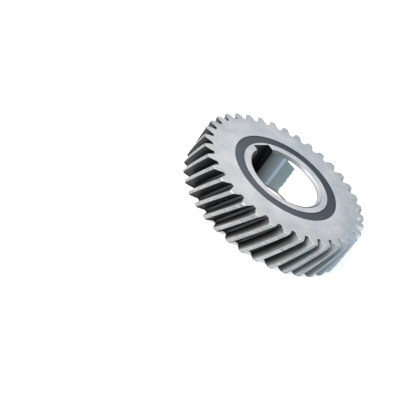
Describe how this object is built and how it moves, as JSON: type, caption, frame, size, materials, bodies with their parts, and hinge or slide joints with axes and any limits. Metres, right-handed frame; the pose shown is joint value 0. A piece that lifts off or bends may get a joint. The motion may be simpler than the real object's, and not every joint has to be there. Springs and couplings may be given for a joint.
{
  "type": "gear wheel",
  "caption": "Helical gear wheel with leaning involute teeth, a keyed through bore and a shallow turned ring in its upper face.",
  "frame": {"origin": "centre of the plain lower face, on the bore's axis", "axes": "+Z along the bore's axis towards the face with the turned ring; +Y through the middle of the keyway"},
  "size_m": [0.1288, 0.1288, 0.03],
  "materials": {
    "gear_steel": "ground faces, hobbed teeth, dark turned ring"
  },
  "bodies": {
    "root": {"gear_wheel": "gear_steel"}
  },
  "joints": []
}
